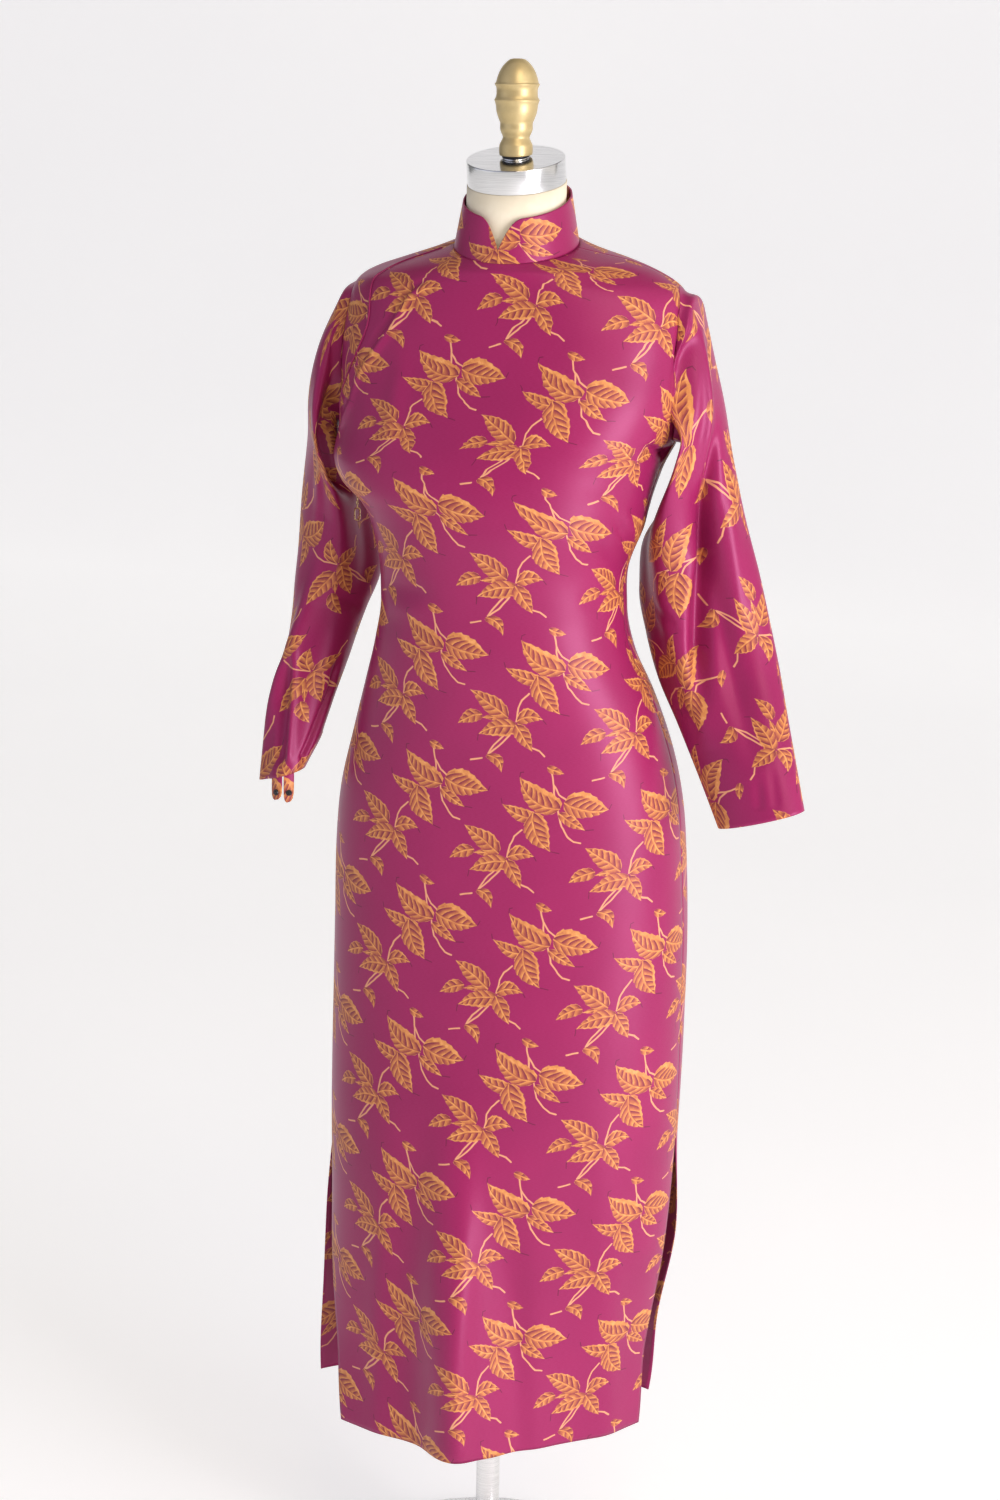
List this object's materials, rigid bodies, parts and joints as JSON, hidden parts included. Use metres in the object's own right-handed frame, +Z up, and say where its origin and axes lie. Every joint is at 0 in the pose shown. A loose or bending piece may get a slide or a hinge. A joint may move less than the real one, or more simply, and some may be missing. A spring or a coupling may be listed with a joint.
{
  "type": "long-sleeved cheongsam dress on a limbless dress form",
  "caption": "Ankle-length plum satin brocade cheongsam with gold leaf sprays, stand collar and side slits, worn on a cream limbless dress form with a pole and round base.",
  "frame": {"origin": "centre of the base plate's underside, on the axis of the pole, at floor level", "axes": "+Z up along the pole; -Y is the front of the dress; +X is the wearer's left"},
  "size_m": [0.6008, 0.34, 1.656],
  "materials": {
    "satin": "satin brocade",
    "form_canvas": "matt canvas",
    "steel": "polished",
    "finial_paint": "aged gold-bronze paint",
    "snap_metal": "black enamel",
    "zip_gold": "polished"
  },
  "bodies": {
    "dressed_form": {"front_panel": "satin", "back_panel": "satin", "under_flap": "satin", "left_sleeve": "satin", "right_sleeve": "satin", "collar": "satin", "cuff_tab_outer": "satin", "cuff_tab_inner": "satin", "cuff_snap_outer": "snap_metal", "cuff_snap_inner": "snap_metal", "finial_washer": "snap_metal", "zip_slider": "zip_gold", "form_torso": "form_canvas", "neck_cap": "steel", "pole": "steel", "pole_socket": "steel", "base_plate": "steel", "finial": "finial_paint"},
    "pull": {"zip_pull": "zip_gold"}
  },
  "joints": [
    {"name": "zip_pull_swing", "type": "hinge", "parent": "dressed_form", "child": "pull", "pos_m": [-0.16537, -0.00187, 1.21117], "axis": [0, 1, 0], "range_deg": [-35, 20]}
  ]
}
